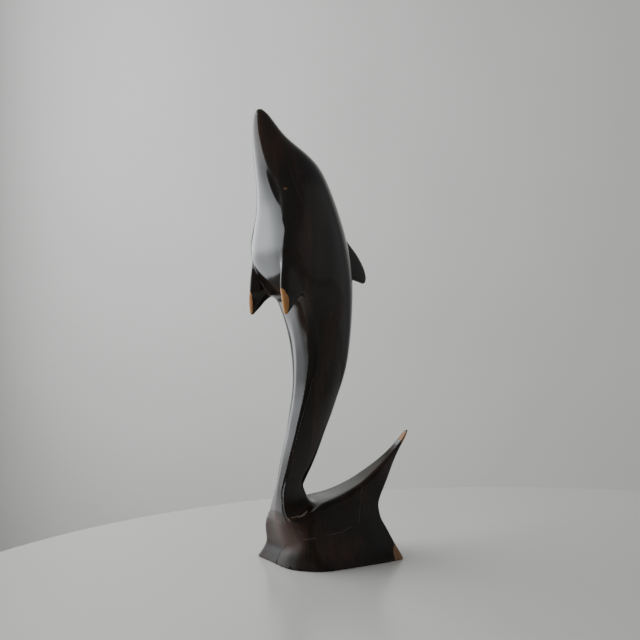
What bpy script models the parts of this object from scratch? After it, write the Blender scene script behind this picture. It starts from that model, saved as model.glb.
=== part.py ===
"""Wooden dolphin sculpture, one solid carving standing on its tail.

The carving is built in millimetres along its own axes: s runs from the belly
towards the back, l to the side and z up from the table. The dolphin is
symmetric in l apart from the foot, whose outline is a little uneven.
"""
import math

import bmesh
import bpy
import numpy as np

MM = 0.001

# Place of the carving's middle along s.
CENTRE_S = 17.3

# Trunk, one row per level: height, belly line, back line, half width, place of the
# widest point as a share of the depth from the belly, squareness of the belly side.
TRUNK = [
    (305.2, -41.9, -39.4, 1.6, 0.50, 2.0),
    (303.2, -43.9, -36.7, 3.8, 0.49, 2.0),
    (300.5, -45.1, -33.6, 5.4, 0.50, 2.0),
    (296.5, -45.8, -30.3, 7.0, 0.51, 2.0),
    (290.0, -45.8, -24.9, 9.2, 0.51, 2.0),
    (284.5, -45.3, -18.3, 11.3, 0.51, 2.0),
    (279.0, -44.6, -9.1, 14.1, 0.51, 2.0),
    (269.0, -43.3, 2.6, 18.4, 0.50, 2.0),
    (253.0, -40.0, 11.0, 23.7, 0.45, 2.2),
    (236.5, -37.3, 18.0, 26.1, 0.40, 2.6),
    (224.0, -37.0, 22.5, 26.7, 0.41, 3.1),
    (211.5, -37.4, 26.0, 26.7, 0.42, 3.4),
    (203.0, -35.8, 27.8, 26.3, 0.41, 3.4),
    (196.0, -34.0, 29.0, 25.7, 0.38, 3.2),
    (192.0, -32.0, 29.4, 25.2, 0.37, 3.1),
    (188.0, -29.4, 29.8, 24.6, 0.34, 3.0),
    (184.0, -26.8, 30.1, 24.0, 0.31, 2.9),
    (181.6, -25.6, 30.3, 23.4, 0.30, 2.9),
    (180.2, -23.9, 30.4, 23.1, 0.28, 2.8),
    (178.8, -22.0, 30.4, 22.8, 0.25, 2.8),
    (177.0, -21.3, 30.4, 22.3, 0.24, 2.8),
    (173.0, -20.1, 30.4, 21.1, 0.23, 2.8),
    (169.0, -18.5, 30.4, 19.8, 0.22, 2.8),
    (155.0, -14.8, 29.7, 16.6, 0.17, 2.6),
    (145.5, -13.3, 28.8, 14.6, 0.15, 2.0),
    (135.0, -12.7, 27.3, 12.5, 0.15, 2.0),
    (124.5, -13.0, 24.5, 10.6, 0.15, 2.0),
    (112.5, -14.1, 19.8, 9.1, 0.14, 2.0),
    (100.0, -16.2, 15.0, 7.9, 0.12, 2.0),
    (89.5, -18.2, 10.2, 7.3, 0.11, 2.0),
    (75.5, -21.9, 4.3, 6.9, 0.12, 2.0),
    (65.0, -24.4, -0.8, 6.3, 0.13, 2.0),
    (56.0, -26.4, -6.0, 6.2, 0.14, 2.0),
    (50.5, -27.4, -8.6, 7.0, 0.16, 2.0),
    (48.0, -27.6, -8.2, 7.8, 0.17, 2.0),
    (45.5, -27.8, -6.0, 8.6, 0.18, 2.1),
    (43.0, -27.8, -3.6, 9.8, 0.20, 2.2),
    (40.0, -27.7, 0.4, 11.4, 0.24, 2.4),
    (34.0, -27.4, 6.0, 14.0, 0.28, 2.6),
    (26.0, -25.0, 6.0, 14.0, 0.30, 2.6),
]
TRUNK_STEP = 1.0
TRUNK_SIDES = 48

# Pectoral fin, one row per level from the root down: height, front edge, rear edge,
# middle of the blade to the side, thickness.
PECTORAL = [
    (224.0, -29.0, -16.0, 17.6, 4.0),
    (214.0, -33.4, -14.0, 19.2, 6.0),
    (205.0, -35.2, -12.0, 19.9, 7.0),
    (196.0, -36.4, -12.0, 20.2, 7.4),
    (189.0, -36.9, -13.5, 20.4, 7.2),
    (185.0, -36.9, -16.0, 20.8, 6.8),
    (182.6, -36.9, -18.8, 21.5, 6.4),
    (181.0, -36.8, -21.2, 22.2, 6.0),
    (178.0, -36.6, -25.2, 22.8, 5.4),
    (174.0, -36.2, -28.2, 23.4, 4.8),
    (170.5, -35.7, -31.6, 23.9, 3.6),
    (168.6, -35.0, -33.2, 24.1, 1.6),
]

# Back fin, one row per level: height, root inside the back, outer edge, thickness.
BACK_FIN = [
    (231.0, 12.0, 19.6, 2.0),
    (224.0, 14.0, 25.0, 4.0),
    (217.5, 15.0, 30.2, 5.0),
    (211.5, 16.0, 35.6, 5.4),
    (205.0, 17.0, 40.2, 5.2),
    (199.0, 18.0, 43.1, 4.6),
    (196.0, 20.0, 43.9, 4.2),
    (194.4, 26.0, 44.1, 3.8),
    (193.0, 32.5, 43.9, 3.4),
    (191.8, 37.0, 43.4, 2.8),
    (190.6, 40.6, 42.6, 1.6),
]

# Sides of the lower block, one row per place along s: height and half width of the
# top edge, of the bulge, of the hollow, then the half width at the foot.
SIDES = [
    (-40.0, 33.0, 12.0, 26.0, 13.0, 13.0, 20.0, 31.5),
    (-27.5, 33.0, 15.0, 26.0, 17.0, 13.0, 21.0, 31.5),
    (-22.0, 33.6, 17.7, 26.5, 20.6, 16.6, 22.8, 31.5),
    (-16.0, 35.6, 18.3, 28.0, 22.0, 20.8, 23.6, 31.6),
    (-12.0, 37.0, 18.9, 29.0, 22.3, 21.8, 23.7, 31.6),
    (2.0, 42.8, 16.8, 30.5, 21.9, 23.2, 23.4, 31.8),
    (16.5, 45.2, 13.4, 31.5, 20.4, 24.3, 22.4, 32.1),
    (33.0, 50.7, 11.0, 33.0, 17.0, 24.0, 20.6, 32.2),
    (46.0, 57.9, 8.8, 36.0, 13.2, 23.0, 17.8, 31.6),
    (56.0, 64.6, 6.4, 44.0, 9.4, 22.0, 16.5, 30.0),
    (64.0, 69.7, 4.6, 54.0, 6.6, 22.0, 15.5, 29.0),
    (72.0, 76.4, 3.2, 64.0, 4.6, 22.0, 15.0, 28.0),
    (90.0, 98.0, 2.0, 76.0, 3.0, 22.0, 14.0, 26.0),
]

# Narrowing of the front of the block above its top edge: height, half width.
NECK = [(38.0, 10.4), (41.0, 9.0), (45.5, 7.4), (50.5, 6.4), (56.0, 6.0), (64.0, 6.2)]
NECK_ENDS = -19.0

# Top of the block and raised fluke, seen from the side: place along s, height.
TOP_LINE = [
    (-48.0, 62.0), (-28.6, 60.0), (-27.0, 50.0), (-25.4, 42.0), (-23.6, 37.4), (-20.6, 35.4),
    (-16.5, 36.1), (-12.0, 37.4), (-8.5, 38.8), (0.0, 42.0), (16.5, 45.2), (33.0, 50.8),
    (50.0, 60.2), (63.7, 69.6), (73.0, 77.9), (80.6, 86.5), (96.0, 105.0),
]

# Front of the block, seen from the side: height, place along s, and how much the
# near and the far corner fall back. The foot is higher at the near corner.
FRONT_LINE = [
    (-12.0, -29.6, 8.0, -0.2), (0.0, -26.8, 7.0, -0.2), (6.0, -25.0, 6.4, -0.5), (12.0, -23.2, 4.6, -0.9),
    (18.0, -25.0, 4.4, -1.6), (24.0, -27.0, 4.6, -2.0), (28.0, -28.0, 4.6, -1.0), (33.0, -28.4, 4.0, 1.5),
    (42.0, -28.0, 3.0, 3.0), (50.0, -27.2, 2.0, 2.0), (66.0, -24.4, 2.0, 2.0),
]
NEAR_CLIMB = 5.0
CLIMB_OVER = 10.0

# Rear end of the block and underside of the fluke: height, place along s, fall back.
END_LINE = [
    (-6.0, 63.0, 4.4), (0.0, 61.0, 4.4), (6.0, 58.4, 4.4), (12.0, 55.6, 4.6), (20.8, 51.6, 5.0),
    (27.2, 48.2, 5.0), (35.0, 47.4, 5.0), (40.0, 49.6, 5.0), (45.5, 53.6, 4.0), (54.6, 59.8, 2.0),
    (63.2, 65.2, 1.0), (72.5, 71.9, 1.0), (80.1, 78.0, 1.0), (86.4, 81.4, 0.6), (110.0, 84.0, 0.6),
]
BELOW_TABLE = 5.0
CORNER_AT = 20.0
FLARE_SHARE = 0.42

VOXEL = 1.0
SMOOTH_PASSES = 8
TRIANGLES = 7600

COLLECTION = "dolphin sculpture"


def smooth_line(rows, column, wanted):
    """Monotone cubic through one column of the rows, at the wanted places."""
    table = np.array(sorted(rows))
    x, y = table[:, 0], table[:, column]
    step = np.diff(x)
    slope = np.diff(y) / step
    tangent = np.zeros_like(y)
    tangent[0], tangent[-1] = slope[0], slope[-1]
    before, after = slope[:-1], slope[1:]
    same = before * after > 0
    weight_a = 2 * step[1:] + step[:-1]
    weight_b = step[1:] + 2 * step[:-1]
    total = np.where(same, weight_a / np.where(same, before, 1) + weight_b / np.where(same, after, 1), 1)
    tangent[1:-1] = np.where(same, (weight_a + weight_b) / total, 0)
    place = np.clip(np.searchsorted(x, wanted) - 1, 0, len(step) - 1)
    share = (wanted - x[place]) / step[place]
    a, b = y[place], y[place + 1]
    ta, tb = tangent[place] * step[place], tangent[place + 1] * step[place]
    square, cube = share**2, share**3
    return ((2 * cube - 3 * square + 1) * a + (cube - 2 * square + share) * ta
            + (3 * square - 2 * cube) * b + (cube - square) * tb)


def ease(share):
    """Smooth step from nought to one."""
    share = np.clip(share, 0, 1)
    return share * share * (3 - 2 * share)


def loft(name, rings, collection):
    """Closed mesh through rings of equal point count, its ends capped."""
    count = len(rings[0])
    points = [tuple(point) for ring in rings for point in ring]
    faces = []
    for level in range(len(rings) - 1):
        for side in range(count):
            low = level * count + side
            low_next = level * count + (side + 1) % count
            faces.append((low, low_next, low_next + count, low + count))
    faces.append(tuple(reversed(range(count))))
    last = (len(rings) - 1) * count
    faces.append(tuple(range(last, last + count)))
    mesh = bpy.data.meshes.new(name)
    mesh.from_pydata([tuple(value * MM for value in point) for point in points], [], faces)
    shape = bmesh.new()
    shape.from_mesh(mesh)
    bmesh.ops.recalc_face_normals(shape, faces=shape.faces)
    shape.to_mesh(mesh)
    shape.free()
    made = bpy.data.objects.new(name, mesh)
    collection.objects.link(made)
    return made


def trunk_ring(level, values):
    """One level of the trunk, a rounded outline with its own belly and back depth."""
    belly, back, half, share, square = values
    widest = belly + share * (back - belly)
    turn = np.linspace(0, 2 * math.pi, TRUNK_SIDES, endpoint=False)
    along, across = np.cos(turn), np.sin(turn)
    depth = np.where(along < 0, widest - belly, back - widest)
    blend = ease((1 - along) / 2)
    power = square * blend + 2.0 * (1 - blend)
    radius = ((np.abs(along) / depth) ** power + (np.abs(across) / half) ** power) ** (-1 / power)
    return [(widest + r * c - CENTRE_S, r * s, level) for r, c, s in zip(radius, along, across)]


def make_trunk(collection):
    """Beak, head, chest with its ledge, and the narrowing tail stock."""
    low, high = TRUNK[-1][0], TRUNK[0][0]
    levels = np.linspace(low, high, int((high - low) / TRUNK_STEP) + 1)
    columns = [smooth_line(TRUNK, column, levels) for column in range(1, 6)]
    rings = [trunk_ring(level, values) for level, values in zip(levels, zip(*columns))]
    return loft("trunk", rings, collection)


def blade_ring(level, front, rear, middle, thick, side):
    """One level of a fin, an ellipse drawn out along the blade."""
    turn = np.linspace(0, 2 * math.pi, 32, endpoint=False)
    centre, half = (front + rear) / 2, (rear - front) / 2
    return [(centre + half * math.cos(t) - CENTRE_S, side * middle + thick / 2 * math.sin(t), level)
            for t in turn]


def make_pectoral(side, collection):
    """One pectoral fin hanging from the corner of the chest."""
    levels = np.linspace(PECTORAL[-1][0], PECTORAL[0][0], 56)
    columns = [smooth_line(PECTORAL, column, levels) for column in range(1, 5)]
    rings = [blade_ring(level, *values, side) for level, values in zip(levels, zip(*columns))]
    return loft("pectoral", rings, collection)


def make_back_fin(collection):
    """The small swept fin on the back."""
    levels = np.linspace(BACK_FIN[-1][0], BACK_FIN[0][0], 40)
    columns = [smooth_line(BACK_FIN, column, levels) for column in range(1, 4)]
    rings = []
    for level, (root, edge, thick) in zip(levels, zip(*columns)):
        rings.append(blade_ring(level, root, edge, 0.0, thick, 1))
    return loft("back fin", rings, collection)


def side_widths(place, values, heights):
    """Half widths of the block at one place along s, for the heights given."""
    top, top_half, bulge, bulge_half, hollow, hollow_half, foot_half = values
    flare = hollow_half + FLARE_SHARE * (foot_half - hollow_half)
    knots = [(-BELOW_TABLE, foot_half + 3.5), (0.0, foot_half), (hollow * 0.45, flare),
             (hollow, hollow_half), (bulge, bulge_half), (top, top_half)]
    if place < NECK_ENDS:
        knots += NECK
    else:
        knots += [(top + 30.0, top_half * 0.6)]
    return smooth_line(knots, 1, heights)


def side_section(place, values):
    """Cross section of the block at one place along s."""
    heights = np.linspace(-BELOW_TABLE, max(values[0] + 8.0, 64.0), 60)
    widths = side_widths(place, values, heights)
    near = [(place - CENTRE_S, -w, h) for w, h in zip(widths, heights)]
    far = [(place - CENTRE_S, w, h) for w, h in zip(widths, heights)]
    return near + far[::-1]


def make_block(collection):
    """The lower block with its foot, bulge and raised fluke, before it is cut to length."""
    places = np.linspace(-38.0, 88.0, 74)
    columns = [smooth_line(SIDES, column, places) for column in range(1, 8)]
    rings = [side_section(place, values) for place, values in zip(places, zip(*columns))]
    return loft("block", rings, collection)


def make_cutter(name, outline_at, collection):
    """A cutter swept across the carving, its outline in s and z a function of l."""
    rings = []
    for across in np.linspace(-45.0, 45.0, 61):
        rings.append([(s - CENTRE_S, across, z) for s, z in outline_at(across)])
    return as_cutter(loft(name, rings, collection))


def as_cutter(made):
    """Shows a cutter as wires only."""
    made.display_type = "WIRE"
    made.hide_render = True
    return made


def top_outline(across):
    """Everything above the top line."""
    places = np.linspace(-48.0, 96.0, 60)
    heights = smooth_line(TOP_LINE, 1, places)
    return list(zip(places, heights)) + [(96.0, 140.0), (-48.0, 140.0)]


def front_outline(across):
    """Everything in front of the block, with the near corner rounded off."""
    heights = np.linspace(-6.0, 66.0, 60)
    lower = heights - NEAR_CLIMB * ease(-across / CORNER_AT) * ease(heights / CLIMB_OVER)
    fall = smooth_line(FRONT_LINE, 2 if across < 0 else 3, lower)
    places = smooth_line(FRONT_LINE, 1, lower) + fall * abs(across / CORNER_AT) ** 3
    return list(zip(places, heights)) + [(-70.0, 66.0), (-70.0, -6.0)]


def end_outline(across):
    """Everything behind the end of the block and under the raised fluke."""
    heights = np.linspace(-6.0, 110.0, 70)
    fall = smooth_line(END_LINE, 2, heights)
    places = smooth_line(END_LINE, 1, heights) - fall * (across / CORNER_AT) ** 2 / 2
    return list(zip(places, heights)) + [(140.0, 110.0), (140.0, -6.0)]


def combine(body, other, operation):
    """Apply one exact boolean and remove the other body."""
    cut = body.modifiers.new(operation, "BOOLEAN")
    cut.operation = operation
    cut.solver = "EXACT"
    cut.object = other
    apply_all(body)
    bpy.data.objects.remove(other, do_unlink=True)


def apply_all(body):
    """Replace the body's mesh by its evaluated one."""
    bpy.context.view_layer.update()
    graph = bpy.context.evaluated_depsgraph_get()
    mesh = bpy.data.meshes.new_from_object(body.evaluated_get(graph))
    body.modifiers.clear()
    body.data = mesh


def make_table_cutter(collection):
    """A slab below the table, so that the foot ends flat at height nought."""
    slab = bpy.data.meshes.new("slab")
    shape = bmesh.new()
    bmesh.ops.create_cube(shape, size=0.4)
    bmesh.ops.translate(shape, verts=shape.verts, vec=(0, 0, -0.2))
    shape.to_mesh(slab)
    shape.free()
    made = bpy.data.objects.new("slab", slab)
    collection.objects.link(made)
    return as_cutter(made)


def round_over(body):
    """Blend the joined forms into one smooth skin."""
    skin = body.modifiers.new("skin", "REMESH")
    skin.mode = "VOXEL"
    skin.voxel_size = VOXEL * MM
    soft = body.modifiers.new("soft", "SMOOTH")
    soft.factor = 0.5
    soft.iterations = SMOOTH_PASSES
    apply_all(body)


def lighten(body):
    """Reduce the skin to few faces without losing its form."""
    now = sum(len(face.vertices) - 2 for face in body.data.polygons)
    fewer = body.modifiers.new("fewer", "DECIMATE")
    fewer.ratio = TRIANGLES / now
    apply_all(body)


def wood():
    """Dark polished wood."""
    material = bpy.data.materials.new("dark polished wood")
    material.use_nodes = True
    shader = material.node_tree.nodes["Principled BSDF"]
    shader.inputs["Base Color"].default_value = (0.022, 0.013, 0.010, 1.0)
    shader.inputs["Roughness"].default_value = 0.22
    return material


def main():
    """Builds the carving from its forms and leaves it as one closed body."""
    for old in list(bpy.data.objects):
        bpy.data.objects.remove(old, do_unlink=True)
    work = bpy.data.collections.new(COLLECTION)
    cutters = bpy.data.collections.new("cutters")
    bpy.context.scene.collection.children.link(work)
    bpy.context.scene.collection.children.link(cutters)
    body = make_block(work)
    for name, outline in (("above", top_outline), ("ahead", front_outline), ("behind", end_outline)):
        combine(body, make_cutter(name, outline, cutters), "DIFFERENCE")
    for piece in (make_trunk(work), make_pectoral(1, work), make_pectoral(-1, work), make_back_fin(work)):
        combine(body, piece, "UNION")
    round_over(body)
    lighten(body)
    combine(body, make_table_cutter(cutters), "DIFFERENCE")
    body.name = "dolphin"
    body.data.name = "dolphin"
    body.data.materials.clear()
    body.data.materials.append(wood())


main()
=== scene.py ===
"""Looks of the wooden dolphin sculpture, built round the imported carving.

The dolphin stands on its raised tail and is one carving, so it is one piece here too.
Sizes are in millimetres along the carving's own axes: s from the belly to the back, l
across it with the camera's side negative, and z up from the table.
"""

import logging
import math
from dataclasses import dataclass
from typing import Callable, Dict, List, Optional, Sequence, Tuple, Union

import bpy
import numpy as np
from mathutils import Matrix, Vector


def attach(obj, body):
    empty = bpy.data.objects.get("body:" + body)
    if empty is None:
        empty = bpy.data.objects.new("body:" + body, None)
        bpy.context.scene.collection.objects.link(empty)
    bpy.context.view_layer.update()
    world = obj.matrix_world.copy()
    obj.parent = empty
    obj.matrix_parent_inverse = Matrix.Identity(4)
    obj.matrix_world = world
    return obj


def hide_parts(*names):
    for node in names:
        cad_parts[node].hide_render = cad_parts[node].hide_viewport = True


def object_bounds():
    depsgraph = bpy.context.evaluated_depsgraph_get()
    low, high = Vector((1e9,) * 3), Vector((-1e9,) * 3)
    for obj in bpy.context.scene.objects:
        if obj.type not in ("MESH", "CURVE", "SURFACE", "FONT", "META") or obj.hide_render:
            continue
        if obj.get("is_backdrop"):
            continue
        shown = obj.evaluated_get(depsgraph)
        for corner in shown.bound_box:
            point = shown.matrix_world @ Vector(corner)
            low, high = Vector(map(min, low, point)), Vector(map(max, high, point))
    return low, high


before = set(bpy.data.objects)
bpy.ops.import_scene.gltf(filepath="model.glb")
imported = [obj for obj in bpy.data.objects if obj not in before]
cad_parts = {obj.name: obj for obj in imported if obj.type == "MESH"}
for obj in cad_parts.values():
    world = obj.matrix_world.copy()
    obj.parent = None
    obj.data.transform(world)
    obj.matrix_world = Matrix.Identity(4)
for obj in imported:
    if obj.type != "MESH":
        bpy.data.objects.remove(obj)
CAD_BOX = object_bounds()

MM = 0.001
CENTRE_S = 17.3
LOG = logging.getLogger("dolphin")

Array = np.ndarray
Number = Union[float, "Socket"]
Row = Tuple[float, ...]


# Lines and sheets through named sizes.


def cubic(places: Array, sizes: Array, wanted: Array) -> Array:
    """Monotone cubic through the sizes: no overshoot between two of them.

    The tangent at an inner size is the weighted harmonic mean of the slopes beside it,
    or nought where they differ in sign; between sizes it is the Hermite cubic.

    Args:
        places: Increasing places of the sizes, shape (k,).
        sizes: The sizes, shape (..., k).
        wanted: Places to read, shape (n,).

    Returns:
        The sizes at the wanted places, shape (..., n).
    """
    step = np.diff(places)
    slope = np.diff(sizes, axis=-1) / step
    before, after = slope[..., :-1], slope[..., 1:]
    same = before * after > 0
    ahead, behind = 2 * step[1:] + step[:-1], step[1:] + 2 * step[:-1]
    total = np.where(same, ahead / np.where(same, before, 1) + behind / np.where(same, after, 1), 1)
    inner = np.where(same, (ahead + behind) / total, 0)
    tangent = np.concatenate([slope[..., :1], inner, slope[..., -1:]], axis=-1)
    at = np.clip(np.searchsorted(places, wanted) - 1, 0, len(step) - 1)
    share = (wanted - places[at]) / step[at]
    a, b = sizes[..., at], sizes[..., at + 1]
    ta, tb = tangent[..., at] * step[at], tangent[..., at + 1] * step[at]
    square, cube = share**2, share**3
    return ((2 * cube - 3 * square + 1) * a + (cube - 2 * square + share) * ta
            + (3 * square - 2 * cube) * b + (cube - square) * tb)


def eased(values: Array, reach: float, axis: int = -1) -> Array:
    """Bell-shaped running mean, which takes kinks out of a line so that its gloss runs on.

    Args:
        values: Evenly spaced values.
        reach: Width of the bell, in samples.
        axis: The axis to ease along.

    Returns:
        The eased values, of the same shape; the ends are continued in a straight line.
    """
    if reach <= 0:
        return values
    count = int(3 * reach) + 1
    bell = np.exp(-0.5 * (np.arange(-count, count + 1) / reach) ** 2)
    bell /= bell.sum()
    line = np.moveaxis(values, axis, -1)
    first, last = line[..., :1], line[..., -1:]
    before = 2 * first - line[..., count:0:-1]
    after = 2 * last - line[..., -2:-count - 2:-1]
    wide = np.concatenate([before, line, after], axis=-1)
    size = line.shape[-1]
    out = sum(weight * wide[..., shift:shift + size] for shift, weight in enumerate(bell))
    return np.moveaxis(out, -1, axis)


@dataclass(frozen=True)
class Profile:
    """Several sizes that run along one axis, sampled closely and read back as lines.

    Attributes:
        places: Evenly spaced places along the axis.
        columns: Each size at those places, one row to a size.
    """

    places: Array
    columns: Array

    @classmethod
    def through(cls, rows: Sequence[Row], soft: float, sharp: float = 0.0,
                kept: Sequence[Tuple[float, float]] = (), step: float = 0.1,
                border: float = 2.0) -> "Profile":
        """Samples a table of sizes.

        Args:
            rows: Rows of place and sizes, in any order.
            soft: How far kinks are eased, in millimetres.
            sharp: How far they are eased inside the kept spans.
            kept: Spans of places that keep their sharper turns.
            step: Distance between samples.
            border: Width over which a kept span begins and ends.

        Returns:
            The sampled profile.
        """
        table = np.array(sorted(rows), float)
        places = np.arange(table[0, 0], table[-1, 0] + step / 2, step)
        raw = cubic(table[:, 0], table[:, 1:].T, places)
        columns = eased(raw, soft / step)
        if kept:
            near = np.zeros_like(places)
            for low, high in kept:
                near = np.maximum(near, ((places > low) & (places < high)).astype(float))
            near = np.clip(eased(near, border / step), 0, 1)
            columns = columns * (1 - near) + eased(raw, sharp / step) * near
        return cls(places, columns)

    def at(self, wanted: Array) -> List[Array]:
        """Each size at the wanted places, held at its end values beyond the ends."""
        return [np.interp(wanted, self.places, column) for column in self.columns]


@dataclass(frozen=True)
class Sheet:
    """A size that is a function of two parameters, on an even grid.

    Attributes:
        low: Lowest value of each parameter.
        step: Distance between the grid's lines in each.
        values: The size on the grid.
    """

    low: Tuple[float, float]
    step: Tuple[float, float]
    values: Array

    def at(self, u: Array, v: Array) -> Array:
        """The size at (u, v), straight-line between the grid's four nearest values.

        Args:
            u: First parameter.
            v: Second parameter.

        Returns:
            The sizes, held at the grid's rim beyond it.
        """
        a = np.clip((u - self.low[0]) / self.step[0], 0, self.values.shape[0] - 1.001)
        b = np.clip((v - self.low[1]) / self.step[1], 0, self.values.shape[1] - 1.001)
        i, j = a.astype(np.int32), b.astype(np.int32)
        a, b = a - i, b - j
        grid = self.values
        return ((1 - a) * ((1 - b) * grid[i, j] + b * grid[i, j + 1])
                + a * ((1 - b) * grid[i + 1, j] + b * grid[i + 1, j + 1]))


def rise(values: Array, start: float, stop: float) -> Array:
    """Smooth step from 0 at the start to 1 at the stop, level at both ends."""
    share = np.clip((values - start) / (stop - start), 0, 1)
    return share * share * (3 - 2 * share)


def joined(a: Array, b: Array, fillet: Union[float, Array]) -> Array:
    """Union of two depths: the smaller one, less a parabola where both are near equal."""
    near = np.maximum(fillet - np.abs(a - b), 0) / fillet
    return np.minimum(a, b) - near * near * fillet / 4


def cut_by(a: Array, b: Array, edge: Union[float, Array]) -> Array:
    """What two depths have in common, the larger one, its edge rounded the same way."""
    return -joined(-a, -b, edge)


# The forms of the carving. Each gives the depth of points, negative inside the wood.


@dataclass(frozen=True)
class Trunk:
    """Beak, head, chest with its ledge, and the narrowing tail stock.

    Attributes:
        levels: Rows of height, belly line, back line, half width, place of the side
            ridge, and squareness of the belly side.
        soft: How far kinks are eased, for even gloss.
        turns: Spans of height where the lines turn sharply.
        turn_soft: How far kinks are eased there.
        ledge: Height of the chest's ledge, its depth, its softness and its reach down.
    """

    levels: Tuple[Row, ...] = (
        (304.8, -42.0, -39.2, 1.8, -40.6, 2.0), (303.0, -43.8, -36.5, 3.8, -40.2, 2.0),
        (300.5, -44.9, -33.6, 5.3, -39.2, 2.0), (296.5, -45.5, -30.3, 7.0, -37.7, 2.0),
        (290.0, -45.5, -24.9, 9.2, -35.0, 2.0), (284.5, -45.1, -18.3, 11.3, -31.4, 2.0),
        (279.0, -44.5, -9.1, 14.1, -26.5, 2.0), (269.0, -43.2, 2.6, 18.4, -20.2, 2.0),
        (253.0, -39.9, 11.0, 23.7, -17.1, 2.2), (236.5, -37.3, 18.0, 26.1, -15.2, 3.0),
        (224.0, -37.0, 22.5, 26.7, -12.6, 3.9), (211.5, -37.4, 26.0, 26.7, -10.8, 4.4),
        (203.0, -35.8, 27.8, 26.3, -9.7, 4.3), (194.0, -32.2, 29.2, 25.5, -9.4, 3.8),
        (186.0, -28.4, 30.0, 24.3, -9.2, 3.2), (177.0, -23.0, 30.4, 21.6, -8.4, 2.9),
        (169.0, -18.2, 30.4, 19.3, -7.0, 2.8), (155.0, -14.8, 29.7, 16.6, -5.4, 2.8),
        (145.5, -13.3, 28.8, 14.6, -5.0, 2.0), (135.0, -12.7, 27.3, 12.6, -5.0, 2.0),
        (124.5, -13.0, 24.5, 10.8, -5.8, 2.0), (112.5, -14.1, 19.8, 9.3, -8.3, 2.0),
        (100.0, -16.2, 15.0, 8.1, -12.0, 2.0), (89.5, -18.2, 10.2, 7.4, -15.0, 2.0),
        (75.5, -21.9, 4.3, 6.8, -19.0, 2.0), (65.0, -24.4, -0.8, 6.0, -21.2, 2.0),
        (56.0, -26.4, -6.0, 5.2, -24.1, 2.0), (50.5, -27.5, -8.4, 5.3, -25.8, 2.0),
        (45.5, -28.1, -7.6, 5.4, -26.6, 2.0), (38.0, -28.8, -6.0, 5.6, -27.4, 2.0),
        (26.0, -26.6, -4.0, 5.6, -24.6, 2.0),
    )
    soft: float = 3.5
    turns: Tuple[Tuple[float, float], ...] = ((20.0, 62.0), (299.0, 306.0))
    turn_soft: float = 1.2
    ledge: Row = (180.2, 2.8, 1.4, 9.0)

    def profile(self) -> Profile:
        """The trunk's sizes along its height."""
        return Profile.through(self.levels, self.soft, self.turn_soft, self.turns)

    def depth(self, line: Profile, s: Array, l: Array, z: Array) -> Array:
        """Depth of points under the trunk's skin.

        At each height the outline is the curve where (along / depth)^p + (across /
        half width)^p = 1 about the widest place, with its own depth and power p on the
        belly side and on the back; the depth is that sum's root less one, over its slope.

        Args:
            line: The trunk's sampled sizes.
            s: Places from belly to back.
            l: Places across.
            z: Heights.

        Returns:
            Depths, negative inside.
        """
        belly, back, half, widest, square = line.at(z)
        top, low = line.places[-1], line.places[0]
        level, deep, soft, reach = self.ledge
        under = 1 / (1 + np.exp((z - level) / soft * 2))
        belly = belly + deep * (under * np.exp(-np.maximum(level - z, 0) ** 2 / reach**2))
        along, across = s - widest, np.abs(l)
        deep = np.where(along < 0, widest - belly, back - widest)
        turn = np.clip(0.5 - 0.5 * along / np.sqrt(along**2 + across**2 + 1e-9), 0, 1)
        power = 2.0 + (square - 2.0) * turn * turn * (3 - 2 * turn)
        a, b = np.abs(along) / deep + 1e-6, across / half + 1e-6
        a_less, b_less = a ** (power - 1), b ** (power - 1)
        total = a_less * a + b_less * b
        size = total ** (1 / power)
        slope = np.sqrt((a_less / deep) ** 2 + (b_less / half) ** 2) * size / total
        depth = (size - 1) / slope
        beyond = np.maximum(z - top, low - z)
        return np.maximum(depth, beyond)

    def tube(self, line: Profile, s: Array, l: Array, z: Array) -> Array:
        """Depth of points under the tail stock, left open at the front.

        Behind the ridges the outline is half an ellipse, before them two straight sides.

        Args:
            line: The trunk's sampled sizes.
            s: Places from belly to back.
            l: Places across.
            z: Heights.

        Returns:
            Depths, negative inside.
        """
        _, back, half, ridge, _ = line.at(z)
        along, across = np.maximum(s - ridge, 0) / (back - ridge), np.abs(l) / half
        size = np.sqrt(along**2 + across**2) + 1e-6
        slope = np.sqrt((along / (back - ridge)) ** 2 + (across / half) ** 2) / size
        return (size - 1) / np.maximum(slope, 1 / (back - ridge))


@dataclass(frozen=True)
class Blade:
    """A fin: at each height an ellipse drawn out along the blade.

    Attributes:
        levels: Rows of height, front edge, rear edge, middle of the blade across, and
            thickness.
        soft: How far kinks are eased.
        splay: How much the blade leans outwards for each millimetre forwards.
        tip: How far kinks are eased at its lower tip, and how far above and below the
            tip's height that holds.
        thinnest: Least half length of its section.
    """

    levels: Tuple[Row, ...]
    soft: float = 1.6
    splay: float = 0.0
    tip: Row = (0.3, 3.0, 2.0)
    thinnest: float = 0.3

    def profile(self) -> Profile:
        """The fin's sizes along its height."""
        lowest, (soft, above, below) = self.levels[-1][0], self.tip
        return Profile.through(self.levels, self.soft, soft, ((lowest - below, lowest + above),))

    def depth(self, line: Profile, s: Array, l: Array, z: Array) -> Array:
        """Depth of points under the fin's skin: the ellipse's root less one, over its slope.

        Args:
            line: The fin's sampled sizes.
            s: Places from belly to back.
            l: Places across, measured from the sagittal plane.
            z: Heights.

        Returns:
            Depths, negative inside.
        """
        front, rear, middle, thick = line.at(z)
        half, centre = np.maximum((rear - front) / 2, self.thinnest), (front + rear) / 2
        middle = middle - self.splay * (s - centre)
        along, across = (s - centre) / half, (l - middle) / (thick / 2)
        size = np.sqrt(along**2 + across**2) + 1e-6
        slope = np.sqrt((along / half) ** 2 + (across / (thick / 2)) ** 2) / size
        depth = (size - 1) / np.maximum(slope, 1 / half)
        beyond = np.maximum(z - line.places[-1], line.places[0] - z)
        return np.maximum(depth, beyond)


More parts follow.
